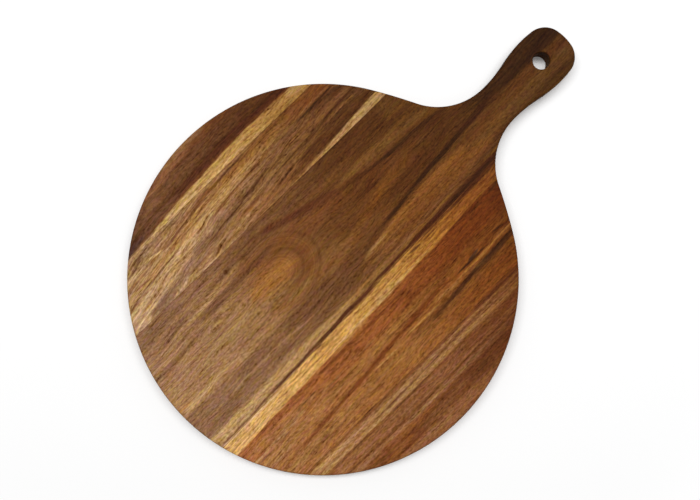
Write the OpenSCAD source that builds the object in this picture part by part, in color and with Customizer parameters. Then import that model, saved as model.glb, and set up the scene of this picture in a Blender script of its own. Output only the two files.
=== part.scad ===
// Pizza serving board: a round board with a paddle handle, glued up edge to edge from
// five straight hardwood staves, cut to one outline, drilled to hang and rounded over.
// It lies flat with the handle along +Y. The origin is the centre of the disc, on the
// underside. Left and right are as seen looking out along the handle. Millimetres.

/* [Board] */
// Diameter of the disc
disc_d = 305; // [280:1:330]
// Thickness
board_t = 15; // [10:0.5:24]
// Radius of the rounded edges, above and below
edge_r = 2.5; // [1:0.25:3]

/* [Handle] */
// Length from the disc's rim to the end of the handle
handle_len = 114.1; // [112:0.1:118]
// Width of the neck at its narrowest
neck_w = 34; // [31:0.25:36]
// Distance of the narrowest place from the disc's rim
neck_from_disc = 41.5; // [40:0.25:45]
// Radius of the slightly bowed shoulder between the disc and the cove
shoulder_r = 461.25; // [400:0.25:700]
// Radius of the cove that leads from the shoulder into the neck
cove_r = 50.5; // [46:0.25:54]
// Radius of the slow flare from the neck towards the head
neck_r = 125; // [110:1:140]
// Width of the head at its widest
head_w = 44.24; // [43:0.02:46]
// Radius of the head's bowed sides
cheek_r = 84.92; // [75:0.02:95]
// Radius of the head's two corners
corner_r = 17.12; // [14:0.02:19]
// Radius of the curve across the end of the head
end_r = 41.52; // [32:0.02:60]

/* [Hanging hole] */
// Diameter of the hole
hole_d = 13.5; // [8:0.5:18]
// Distance of the hole's centre from the end of the handle
hole_from_end = 26.4; // [20:0.1:40]
// Width of the bevel around each mouth of the hole
hole_bevel = 0.75; // [0.25:0.25:2]

/* [Staves] */
// Place of the outer left joint, measured across the disc's centre
outer_left_x = -115.5; // [-125:0.5:-100]
// Lean of the outer left joint, in degrees to the right going out along the handle
outer_left_lean = 1.3; // [-2:0.1:2]
// Place of the inner left joint
inner_left_x = -69; // [-90:0.5:-55]
// Lean of the inner left joint
inner_left_lean = 1; // [-2:0.1:2]
// Place of the inner right joint
inner_right_x = 33; // [30:0.5:60]
// Lean of the inner right joint
inner_right_lean = -1.8; // [-2:0.1:2]
// Place of the outer right joint
outer_right_x = 98.5; // [80:0.5:120]
// Lean of the outer right joint
outer_right_lean = 0.7; // [-2:0.1:2]
// Thickness of the cured glue in a joint
glue_t = 0.2; // [0.1:0.05:0.5]

/* [Hidden] */
$fn = 180;

red_brown = [0.45, 0.25, 0.15];
gold_brown = [0.62, 0.40, 0.22];
dark_brown = [0.40, 0.25, 0.16];
orange_brown = [0.58, 0.33, 0.18];
glue_amber = [0.36, 0.22, 0.12];

disc_r = disc_d / 2;
neck_y = disc_r + neck_from_disc;
tip_y = disc_r + handle_len;
hole_y = tip_y - hole_from_end;

// The rounded rim overlaps the flat core, whose corners lie inside it
rim_w = 4 * edge_r;
core_inset = rim_w / 2;
core_steps = 4;
// Cutting bodies pass the board's faces by this much, and reach past its ends
clear = 5;
reach = 2 * disc_r;

// The outline's right side is a chain of arcs, each touching the next without a kink:
// disc, shoulder, cove, neck, cheek, corner, end. Two arcs touch on the line through
// their centres. The radii above put these centres on exact decimals.
function apart(p, p_dist, q, q_dist) =
    let (gap = norm(q - p), u = (q - p) / gap)
    let (along = (p_dist ^ 2 - q_dist ^ 2 + gap ^ 2) / (2 * gap))
    p + along * u + sqrt(p_dist ^ 2 - along ^ 2) * [-u.y, u.x];
function past(a, b, times) = a + times * (b - a);
function flip(p) = [-p.x, p.y];

disc_c = [0, 0];
cove_c = [neck_w / 2 + cove_r, neck_y];
shoulder_c = apart(disc_c, shoulder_r - disc_r, cove_c, shoulder_r + cove_r);
neck_c = [neck_w / 2 + neck_r, neck_y];
cheek_x = head_w / 2 - cheek_r;
cheek_c = [cheek_x, neck_y + sqrt((neck_r + cheek_r) ^ 2 - (neck_c.x - cheek_x) ^ 2)];
end_c = [0, tip_y - end_r];
corner_c = apart(cheek_c, cheek_r - corner_r, end_c, end_r - corner_r);

// Points beyond the rim on the lines through those centres, where one arc hands over
// to the next
disc_to_shoulder = past(shoulder_c, disc_c, 2);
shoulder_to_cove = past(cove_c, shoulder_c, 0.2);
cove_to_neck = [-disc_r, neck_y];
cheek_to_corner = past(cheek_c, corner_c, 2);
corner_to_end = past(end_c, corner_c, 2);

// Cross-section of the rim: the edge at x = 0, the board at negative x
module rim_section() {
    translate([-rim_w, 0]) square([rim_w - edge_r, board_t]);
    translate([-rim_w, edge_r]) square([rim_w, board_t - 2 * edge_r]);
    for (z = [edge_r, board_t - edge_r]) translate([-edge_r, z]) circle(edge_r);
}

// A full ring of rim, for an edge that bulges outwards or is hollowed inwards
module bulging_ring(centre, r) {
    translate(centre) rotate_extrude() translate([r, 0]) rim_section();
}

module hollow_ring(centre, r) {
    translate(centre) rotate_extrude() translate([r, 0]) mirror([1, 0]) rim_section();
}

// A prism that cuts through the whole thickness
module cutter(points) {
    translate([0, 0, -clear]) linear_extrude(board_t + 2 * clear) polygon(points);
}

// The part of a ring between two lines from its centre
module arc_of(centre, from, to) {
    intersection() {
        children();
        cutter([centre, from, to]);
    }
}

module handle_rim() {
    arc_of(shoulder_c, disc_to_shoulder, cove_c) bulging_ring(shoulder_c, shoulder_r);
    arc_of(cove_c, shoulder_to_cove, cove_to_neck) hollow_ring(cove_c, cove_r);
    arc_of(neck_c, cove_to_neck, cheek_c) hollow_ring(neck_c, neck_r);
    arc_of(cheek_c, neck_c, cheek_to_corner) bulging_ring(cheek_c, cheek_r);
    arc_of(corner_c, cheek_to_corner, corner_to_end) bulging_ring(corner_c, corner_r);
}

module disc_rim() {
    difference() {
        bulging_ring(disc_c, disc_r);
        cutter([disc_c, disc_to_shoulder, flip(disc_to_shoulder)]);
    }
}

module end_rim() {
    arc_of(end_c, corner_to_end, flip(corner_to_end)) bulging_ring(end_c, end_r);
}

// Points on an arc between the directions of two points, seen from its centre
function arc_points(centre, r, from, to) =
    let (a = atan2(from.y - centre.y, from.x - centre.x), b = atan2(to.y - centre.y, to.x - centre.x))
    let (turn = (b - a + 540) % 360 - 180)
    [for (i = [0:core_steps]) centre + r * [cos(a + turn * i / core_steps), sin(a + turn * i / core_steps)]];

core_right = concat(
    arc_points(cove_c, cove_r + core_inset, shoulder_to_cove, cove_to_neck),
    arc_points(cheek_c, cheek_r - core_inset, neck_c, cheek_to_corner),
    arc_points(corner_c, corner_r - core_inset, cheek_to_corner, corner_to_end)
);
core_left = [for (i = [len(core_right) - 1:-1:0]) flip(core_right[i])];

// The flat middle of the board, out to within the rim
module core() {
    cylinder(h = board_t, r = disc_r - core_inset);
    linear_extrude(board_t) polygon(concat([disc_c], core_right, core_left));
}

module hanging_hole() {
    bevel_r = hole_d / 2 + 2 * hole_bevel;
    translate([0, hole_y, -clear]) cylinder(h = board_t + 2 * clear, d = hole_d);
    for (z = [-hole_bevel, board_t - hole_bevel]) translate([0, hole_y, z])
        cylinder(
            h = 2 * hole_bevel,
            r1 = z < 0 ? bevel_r : hole_d / 2,
            r2 = z < 0 ? hole_d / 2 : bevel_r
        );
}

module board() {
    difference() {
        union() {
            core();
            disc_rim();
            end_rim();
            handle_rim();
            mirror([1, 0, 0]) handle_rim();
        }
        hanging_hole();
    }
}

// The band of the board between two straight lines, each given by its place and lean
module band(left, left_lean, right, right_lean) {
    function on(x, lean, y) = [x + y * tan(lean), y];
    intersection() {
        board();
        cutter([
            on(left, left_lean, -reach), on(right, right_lean, -reach),
            on(right, right_lean, reach), on(left, left_lean, reach)
        ]);
    }
}

module glue(x, lean) {
    color(glue_amber) band(x - glue_t / 2, lean, x + glue_t / 2, lean);
}

module stave(left, left_lean, right, right_lean) {
    band(left + glue_t / 2, left_lean, right - glue_t / 2, right_lean);
}

module left_edge_stave() {
    color(red_brown) stave(-reach, 0, outer_left_x, outer_left_lean);
}

module left_stave() {
    color(gold_brown) stave(outer_left_x, outer_left_lean, inner_left_x, inner_left_lean);
}

module handle_stave() {
    color(dark_brown) stave(inner_left_x, inner_left_lean, inner_right_x, inner_right_lean);
}

module right_stave() {
    color(orange_brown) stave(inner_right_x, inner_right_lean, outer_right_x, outer_right_lean);
}

module right_edge_stave() {
    color(red_brown) stave(outer_right_x, outer_right_lean, reach, 0);
}

module outer_left_glue() {
    glue(outer_left_x, outer_left_lean);
}

module inner_left_glue() {
    glue(inner_left_x, inner_left_lean);
}

module inner_right_glue() {
    glue(inner_right_x, inner_right_lean);
}

module outer_right_glue() {
    glue(outer_right_x, outer_right_lean);
}

left_edge_stave();
left_stave();
handle_stave();
right_stave();
right_edge_stave();
outer_left_glue();
inner_left_glue();
inner_right_glue();
outer_right_glue();
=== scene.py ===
"""Pizza serving board: five glued staves of streaky oiled hardwood on a plain pale floor.

The frame is the CAD model's, in metres: handle along +Y, underside at Z = 0. Lengths below are
in millimetres. The wood's figure is written in board coordinates: u runs along the handle, from
the disc's centre, and v runs across it, positive to the left.
"""
import math

import bmesh
import bpy
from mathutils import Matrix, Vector


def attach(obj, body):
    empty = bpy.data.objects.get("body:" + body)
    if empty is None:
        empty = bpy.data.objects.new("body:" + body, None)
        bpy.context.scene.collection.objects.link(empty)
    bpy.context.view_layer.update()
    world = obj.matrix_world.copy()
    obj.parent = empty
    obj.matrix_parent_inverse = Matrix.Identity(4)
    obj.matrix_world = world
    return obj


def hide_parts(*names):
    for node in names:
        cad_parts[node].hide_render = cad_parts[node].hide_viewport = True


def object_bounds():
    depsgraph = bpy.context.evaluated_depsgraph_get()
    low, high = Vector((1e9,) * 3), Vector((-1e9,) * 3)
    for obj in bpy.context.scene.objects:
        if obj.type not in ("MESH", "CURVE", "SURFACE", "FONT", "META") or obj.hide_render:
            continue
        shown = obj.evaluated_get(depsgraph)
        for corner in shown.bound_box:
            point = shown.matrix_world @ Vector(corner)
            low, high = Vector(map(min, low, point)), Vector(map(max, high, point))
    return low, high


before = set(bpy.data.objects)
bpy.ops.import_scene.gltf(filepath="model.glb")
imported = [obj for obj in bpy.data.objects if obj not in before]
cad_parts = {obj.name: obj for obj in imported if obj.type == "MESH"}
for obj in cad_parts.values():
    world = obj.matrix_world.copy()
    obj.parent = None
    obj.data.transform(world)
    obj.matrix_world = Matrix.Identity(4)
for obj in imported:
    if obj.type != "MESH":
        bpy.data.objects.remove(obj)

cad_low, cad_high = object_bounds()
MM = 0.001

# The outline's driving sizes, as in the part's source
DISC_R = cad_high.x / MM
BOARD_T = cad_high.z / MM
TIP_Y = cad_high.y / MM
EDGE_R = 2.5
NECK_W = 34.0
NECK_Y = 194.0
SHOULDER_R = 461.25
COVE_R = 50.5
NECK_R = 125.0
HEAD_W = 44.24
CHEEK_R = 84.92
CORNER_R = 17.12
END_R = 41.52
HOLE_R = 6.75
HOLE_Y = TIP_Y - 26.4
HOLE_MOUTH = 0.75
GLUE_T = 0.2

# Each joint's place across the disc's centre and its lean to the right, in degrees
JOINTS = {
    "outer_left": (-115.5, 1.3),
    "inner_left": (-69.0, 1.0),
    "inner_right": (33.0, -1.8),
    "outer_right": (98.5, 0.7),
}

# Finest spacing of the outline's points, and turns of the rounded edge's cross-section. The
# first and last turns are small, so that the rounding leaves the flat faces without a crease.
STEP = 2.6
STEP_TURN = math.radians(6)
EDGE_TURNS = [0, 1.5, 8, 16, 25, 35, 45, 55, 65, 74, 82, 88.5, 90]
HOLE_SIDES = 72
# How far the drill passes the board's faces
DRILL_PAST = 1.0
# Points this near a joint's plane, in metres, count as on it
ON_PLANE = 1e-8
# A face lies in a plane if their directions match at least this well
FLAT = 0.9999
# A face cut along a joint has more corners than this
FEW_CORNERS = 8


def apart(p, p_dist, q, q_dist):
    """The point at these distances from p and q, to the left of the way from p to q."""
    gap = (q - p).length
    along = (q - p) / gap
    way = (p_dist ** 2 - q_dist ** 2 + gap ** 2) / (2 * gap)
    return p + way * along + math.sqrt(p_dist ** 2 - way ** 2) * Vector((-along.y, along.x))


def heading(a, b):
    """The direction from a to b, as an angle."""
    return math.atan2(b.y - a.y, b.x - a.x)


def right_side_arcs():
    """(centre, radius, first heading, last heading, hollow) from the foot of the disc to the tip."""
    disc = Vector((0.0, 0.0))
    cove = Vector((NECK_W / 2 + COVE_R, NECK_Y))
    shoulder = apart(disc, SHOULDER_R - DISC_R, cove, SHOULDER_R + COVE_R)
    neck = Vector((NECK_W / 2 + NECK_R, NECK_Y))
    cheek_x = HEAD_W / 2 - CHEEK_R
    rise = math.sqrt((NECK_R + CHEEK_R) ** 2 - (neck.x - cheek_x) ** 2)
    cheek = Vector((cheek_x, NECK_Y + rise))
    end = Vector((0.0, TIP_Y - END_R))
    corner = apart(cheek, CHEEK_R - CORNER_R, end, END_R - CORNER_R)
    foot, top, level = -math.pi / 2, math.pi / 2, math.pi
    return [
        (disc, DISC_R, foot, heading(shoulder, disc), False),
        (shoulder, SHOULDER_R, heading(shoulder, disc), heading(shoulder, cove), False),
        (cove, COVE_R, heading(cove, shoulder) + 2 * math.pi, level, True),
        (neck, NECK_R, level, heading(neck, cheek), True),
        (cheek, CHEEK_R, heading(cheek, neck), heading(cheek, corner), False),
        (corner, CORNER_R, heading(cheek, corner), heading(end, corner), False),
        (end, END_R, heading(end, corner), top, False),
    ]


def outline(inset):
    """The board's outline, anticlockwise, moved inwards by inset."""
    right = []
    for centre, radius, first, last, hollow in right_side_arcs():
        turn = last - first
        steps = math.ceil(max(abs(turn) * radius / STEP, abs(turn) / STEP_TURN))
        reach = radius + inset if hollow else radius - inset
        for i in range(steps):
            a = first + turn * i / steps
            right.append(centre + reach * Vector((math.cos(a), math.sin(a))))
    tip = Vector((0.0, TIP_Y - inset))
    left = [Vector((-p.x, p.y)) for p in reversed(right[1:])]
    return right + [tip] + left


def rounding(radius):
    """(inset, height) along a rounded lower edge, from the flat face to the side."""
    turns = [math.radians(turn) for turn in EDGE_TURNS]
    return [(radius * (1 - math.sin(a)), radius * (1 - math.cos(a))) for a in turns]


def both_ends(half):
    """A profile from the lower face to the upper one, from its lower half, (place, height)."""
    return half + [(place, BOARD_T - z) for place, z in reversed(half)]


def skinned(rings):
    """A closed body through rings of points, (x, y, z), from the lowest ring to the highest."""
    bm = bmesh.new()
    rings = [[bm.verts.new([c * MM for c in point]) for point in ring] for ring in rings]
    for lower, upper in zip(rings, rings[1:]):
        for i in range(len(lower)):
            bm.faces.new((lower[i - 1], lower[i], upper[i], upper[i - 1]))
    bm.faces.new(reversed(rings[0]))
    bm.faces.new(rings[-1])
    return bm


def rounded_board():
    """The whole board before drilling."""
    levels = both_ends(rounding(EDGE_R))
    return skinned([(p.x, p.y, z) for p in outline(inset)] for inset, z in levels)


def hole_cutter():
    """A turned body that cuts the hanging hole, with a rounded mouth at each face."""
    half = [(HOLE_R + HOLE_MOUTH, -DRILL_PAST)]
    half += [(HOLE_R + inset, z) for inset, z in rounding(HOLE_MOUTH)]
    turns = [2 * math.pi * i / HOLE_SIDES for i in range(HOLE_SIDES)]
    return skinned(
        [(r * math.cos(a), HOLE_Y + r * math.sin(a), z) for a in turns] for r, z in both_ends(half)
    )


def as_object(bm, name):
    """Turns a bmesh into an object in the scene, and frees it."""
    bmesh.ops.recalc_face_normals(bm, faces=bm.faces)
    mesh = bpy.data.meshes.new(name)
    bm.to_mesh(mesh)
    bm.free()
    made = bpy.data.objects.new(name, mesh)
    bpy.context.scene.collection.objects.link(made)
    return made


def drilled_board():
    """The board with its hanging hole, as a bmesh that the pieces are cut from."""
    board = as_object(rounded_board(), "board_blank")
    drill = as_object(hole_cutter(), "hole_cutter")
    cut = board.modifiers.new("hole", "BOOLEAN")
    cut.operation, cut.solver, cut.object = "DIFFERENCE", "EXACT", drill
    shown = board.evaluated_get(bpy.context.evaluated_depsgraph_get())
    bm = bmesh.new()
    bm.from_mesh(shown.to_mesh())
    for spare in (board, drill):
        mesh = spare.data
        bpy.data.objects.remove(spare)
        bpy.data.meshes.remove(mesh)
    return bm


def across_joint(lean):
    """The level direction across a joint of this lean, to the right."""
    a = math.radians(lean)
    return Vector((math.cos(a), -math.sin(a), 0))


def cut_along(bm, joint, offset, keep_right):
    """Keeps one side of a joint's plane and closes the cut."""
    x, lean = JOINTS[joint]
    bmesh.ops.bisect_plane(
        bm,
        geom=bm.verts[:] + bm.edges[:] + bm.faces[:],
        dist=ON_PLANE,
        plane_co=((x + offset) * MM, 0, 0),
        plane_no=across_joint(lean),
        clear_inner=keep_right,
        clear_outer=not keep_right,
    )
    bmesh.ops.holes_fill(bm, edges=[e for e in bm.edges if e.is_boundary], sides=0)


def piece(whole, name, node, left, right, material):
    """A band of the board between two joints, each None or (joint, offset)."""
    bm = whole.copy()
    if left:
        cut_along(bm, *left, keep_right=True)
    if right:
        cut_along(bm, *right, keep_right=False)
    bmesh.ops.recalc_face_normals(bm, faces=bm.faces)
    cuts = [across_joint(lean) for _, lean in JOINTS.values()]
    for face in bm.faces:
        along_joint = any(abs(face.normal @ n) > FLAT for n in cuts)
        on_cut = len(face.verts) > FEW_CORNERS and along_joint
        face.smooth = abs(face.normal.z) < FLAT and not on_cut
    made = as_object(bm, name)
    made.data.materials.append(material)
    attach(made, "root")
    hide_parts(node)
    return made


# Wood tones, as sRGB values
TONES = {
    "cream": (206, 166, 114),
    "sap": (187, 149, 90),
    "gold": (198, 149, 84),
    "straw": (178, 137, 90),
    "tan": (160, 118, 78),
    "amber": (152, 104, 56),
    "honey": (160, 107, 54),
    "ginger": (148, 95, 51),
    "brick": (148, 88, 46),
    "nut": (138, 88, 49),
    "chestnut": (126, 80, 45),
    "walnut": (136, 97, 65),
    "umber": (106, 68, 41),
    "russet": (112, 67, 36),
    "ember": (98, 56, 33),
    "oxblood": (112, 58, 25),
    "olive": (124, 91, 52),
    "bark": (112, 71, 35),
    "loam": (104, 65, 32),
    "hay": (150, 122, 72),
    "rust": (130, 85, 35),
    "clay": (136, 90, 58),
    "wheat": (203, 177, 132),
    "cocoa": (86, 51, 24),
    "plum": (84, 45, 25),
    "ebony": (62, 36, 17),
    "slate": (70, 48, 40),
}


def linear(rgb):
    """sRGB values from 0 to 255 as a linear colour with alpha."""
    parts = [c / 255 for c in rgb]
    return (*[c / 12.92 if c <= 0.04045 else ((c + 0.055) / 1.055) ** 2.4 for c in parts], 1.0)


def tone(name):
    return linear(TONES[name])


class Field:
    """A number that varies over a surface: an output socket with arithmetic."""

    def __init__(self, tree, socket):
        self.tree, self.socket = tree, socket

    def math(self, operation, *others, kind="ShaderNodeMath"):
        node = self.tree.nodes.new(kind)
        node.operation = operation
        for socket, value in zip(node.inputs, (self, *others)):
            plug(self.tree, socket, value)
        return Field(self.tree, node.outputs[0])

    def vector_math(self, operation, *others):
        return self.math(operation, *others, kind="ShaderNodeVectorMath")

    def __add__(self, other):
        return self.math("ADD", other)

    def __sub__(self, other):
        return self.math("SUBTRACT", other)

    def __mul__(self, other):
        return self.math("MULTIPLY", other)

    def __truediv__(self, other):
        return self.math("DIVIDE", other)

    def scaled(self, factor, offset):
        return self.math("MULTIPLY_ADD", factor, offset)

    def size(self):
        return self.math("ABSOLUTE")

    def limited(self):
        """Held between 0 and 1."""
        return self.math("MAXIMUM", 0.0).math("MINIMUM", 1.0)

    def step(self, low, high):
        """0 up to low, 1 from high, with a smooth rise between them. low may be the larger."""
        node = self.tree.nodes.new("ShaderNodeMapRange")
        node.interpolation_type = "SMOOTHSTEP"
        node.clamp = False
        flipped = low > high
        plug(self.tree, node.inputs["Value"], self)
        node.inputs["From Min"].default_value = min(low, high)
        node.inputs["From Max"].default_value = max(low, high)
        node.inputs["To Min"].default_value = 1.0 if flipped else 0.0
        node.inputs["To Max"].default_value = 0.0 if flipped else 1.0
        return Field(self.tree, node.outputs["Result"])


def plug(tree, socket, value):
    """Links a Field to a socket, or writes a plain value there."""
    if isinstance(value, Field):
        tree.links.new(value.socket, socket)
    else:
        socket.default_value = value


def noise(u, v, w, along, across, seed, detail=2.0, roughness=0.55):
    """Noise from 0 to 1 whose features are about this long and this thick, in millimetres."""
    tree = u.tree
    join = tree.nodes.new("ShaderNodeCombineXYZ")
    plug(tree, join.inputs[0], u.scaled(1 / along, seed))
    plug(tree, join.inputs[1], v.scaled(1 / across, seed * 1.7))
    plug(tree, join.inputs[2], w.scaled(1 / across, seed * 0.6))
    node = tree.nodes.new("ShaderNodeTexNoise")
    tree.links.new(join.outputs[0], node.inputs["Vector"])
    node.inputs["Scale"].default_value = 1.0
    node.inputs["Detail"].default_value = detail
    node.inputs["Roughness"].default_value = roughness
    return Field(tree, node.outputs["Fac"])


def ramp(field, stops, low, high):
    """A colour that follows a field through stops, (place, linear colour), between low and high."""
    tree = field.tree
    node = tree.nodes.new("ShaderNodeValToRGB")
    plug(tree, node.inputs["Fac"], field.scaled(1 / (high - low), -low / (high - low)))
    elements = node.color_ramp.elements
    for place, _ in stops[2:]:
        elements.new((place - low) / (high - low))
    for element, (place, colour) in zip(elements, sorted(stops)):
        element.position = (place - low) / (high - low)
        element.color = colour
    return Field(tree, node.outputs["Color"])


def blended(a, b, amount, kind="MIX"):
    """Colour a changed towards b by an amount from 0 to 1."""
    tree = amount.tree if isinstance(amount, Field) else a.tree
    node = tree.nodes.new("ShaderNodeMix")
    node.data_type, node.blend_type = "RGBA", kind
    plug(tree, node.inputs["Factor"], amount)
    plug(tree, node.inputs["A"], a)
    plug(tree, node.inputs["B"], b)
    return Field(tree, node.outputs["Result"])


# How far red, green and blue follow a change of brightness
SHADE_SHARES = (0.85, 1.0, 1.2)
# Red, green and blue of a patch's hue: how far they follow its noise, and from what
HUE_SWING = (0.0, 0.7, 2.0)
HUE_BASE = (1.0, 0.65, 0.0)


def shaded(colour, change):
    """A colour made lighter or darker by a field around 0, redder as it darkens."""
    tint = change.vector_math("MULTIPLY_ADD", SHADE_SHARES, (1.0, 1.0, 1.0))
    return colour.vector_math("MULTIPLY", tint)


def mottled(colour, u, v, w, seed):
    """A colour whose hue shifts a little between yellow and purple in small patches."""
    patches = noise(u, v, w, 7.5, 2.1, seed, 3.0, 0.62).socket.node.outputs["Color"]
    shift = Field(u.tree, patches).vector_math("MULTIPLY_ADD", HUE_SWING, HUE_BASE)
    return colour.vector_math("MULTIPLY", shift)


def dimmed(colour, u, shares):
    """A colour of which only these shares are left along the board, (u, (red, green, blue)).

    A colour ramp holds no more than 1, so it carries half of each share.
    """
    stops = [(at, (*(c / 2 for c in left), 1.0)) for at, left in shares]
    stops = [(U_LOW, stops[0][1])] + stops + [(U_HIGH, stops[-1][1])]
    half = blended(colour, ramp(u, stops, U_LOW, U_HIGH), 1.0, "MULTIPLY")
    return blended(half, half, 1.0, "ADD")


# The shader has room for few numbers at once, so each streak passes its U on to the next,
# with this share of its own strength added. That is far too little to move anything, but it
# makes the streaks wait for one another.
WAIT = 1e-7


def streak_group():
    """A node group that lays one tapered streak of another tone along the grain."""
    group = bpy.data.node_groups.new("streak", "ShaderNodeTree")
    for name in ("Wood", "Tone"):
        group.interface.new_socket(name, in_out="INPUT", socket_type="NodeSocketColor")
    for name in (
        "U", "V", "Fibre", "Middle U", "Half length", "Middle V",
        "Slope", "Half width", "Softness", "Strength",
    ):
        group.interface.new_socket(name, in_out="INPUT", socket_type="NodeSocketFloat")
    group.interface.new_socket("Wood", in_out="OUTPUT", socket_type="NodeSocketColor")
    group.interface.new_socket("U", in_out="OUTPUT", socket_type="NodeSocketFloat")
    given = group.nodes.new("NodeGroupInput")
    f = {s.name: Field(group, s) for s in given.outputs if s.name}
    run = f["U"] - f["Middle U"]
    t = run / f["Half length"]
    body = (t * t).scaled(-1.0, 1.0).math("MAXIMUM", 0.0)
    line = f["Middle V"] + f["Slope"] * run
    away = (f["V"] - line).size()
    inside = f["Half width"] * body + f["Softness"] - away
    cover = (inside / (f["Softness"] * 2.0)).step(0.0, 1.0)
    fade = body.step(0.0, 0.75)
    amount = (cover * fade * f["Strength"] * f["Fibre"]).limited()
    mixed = blended(f["Wood"], f["Tone"], amount)
    result = group.nodes.new("NodeGroupOutput")
    group.links.new(mixed.socket, result.inputs["Wood"])
    group.links.new(amount.math("MULTIPLY_ADD", WAIT, f["U"]).socket, result.inputs["U"])
    return group


STREAK = streak_group()


def streak(wood, u, v, fibre, u0, v0, u1, v1, width, name, strength, soft=0.7):
    """Lays a streak of a tone from (u0, v0) to (u1, v1) over the wood's colour."""
    tree = u.tree
    node = tree.nodes.new("ShaderNodeGroup")
    node.node_tree = STREAK
    given = {
        "Wood": wood, "Tone": tone(name), "U": u, "V": v, "Fibre": fibre,
        "Middle U": (u0 + u1) / 2, "Half length": (u1 - u0) / 2,
        "Middle V": (v0 + v1) / 2, "Slope": (v1 - v0) / (u1 - u0),
        "Half width": width / 2, "Softness": soft, "Strength": strength,
    }
    for key, value in given.items():
        plug(tree, node.inputs[key], value)
    return Field(tree, node.outputs["Wood"]), Field(tree, node.outputs["U"])


def empty_material(name):
    """A material without nodes, and its node tree."""
    material = bpy.data.materials.new(name)
    material.use_nodes = True
    material.node_tree.nodes.clear()
    return material, material.node_tree


def object_place(tree):
    """Fields for x, y and z, in metres."""
    place = tree.nodes.new("ShaderNodeTexCoord")
    parts = tree.nodes.new("ShaderNodeSeparateXYZ")
    tree.links.new(place.outputs["Object"], parts.inputs[0])
    return [Field(tree, part) for part in parts.outputs]


def oiled(tree, colour, roughness, height, strength, depth, sheen):
    """Gives a material its oiled surface, with bumps of this depth in millimetres."""
    bump = tree.nodes.new("ShaderNodeBump")
    bump.inputs["Strength"].default_value = strength
    bump.inputs["Distance"].default_value = depth * MM
    plug(tree, bump.inputs["Height"], height)
    shader = tree.nodes.new("ShaderNodeBsdfPrincipled")
    shader.inputs["Specular IOR Level"].default_value = sheen
    plug(tree, shader.inputs["Base Color"], colour)
    plug(tree, shader.inputs["Roughness"], roughness)
    tree.links.new(bump.outputs["Normal"], shader.inputs["Normal"])
    output = tree.nodes.new("ShaderNodeOutputMaterial")
    tree.links.new(shader.outputs[0], output.inputs["Surface"])


# The reach of the colour ramps along the board
U_LOW, U_HIGH = -160.0, 270.0
# The whole board is paler and greyer towards its foot, and darker and redder towards the handle: partly
# the wood's own tone, which darkens towards the handle, and partly painted light and a painted sheen,
# strongest at the foot.
# (u, share of red, green and blue left)
WOOD_TONE_AND_PAINTED_LIGHT = [
    (-140, (1.165, 1.19, 1.28)), (-95, (1.09, 1.10, 1.16)), (-60, (1.025, 1.005, 0.985)),
    (-25, (0.98, 0.94, 0.875)), (10, (0.94, 0.865, 0.735)), (45, (0.85, 0.74, 0.57)),
    (80, (0.775, 0.62, 0.42)), (115, (0.71, 0.555, 0.355)), (150, (0.655, 0.508, 0.325)),
    (225, (0.575, 0.46, 0.32)), (266, (0.51, 0.41, 0.3)),
]


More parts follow.
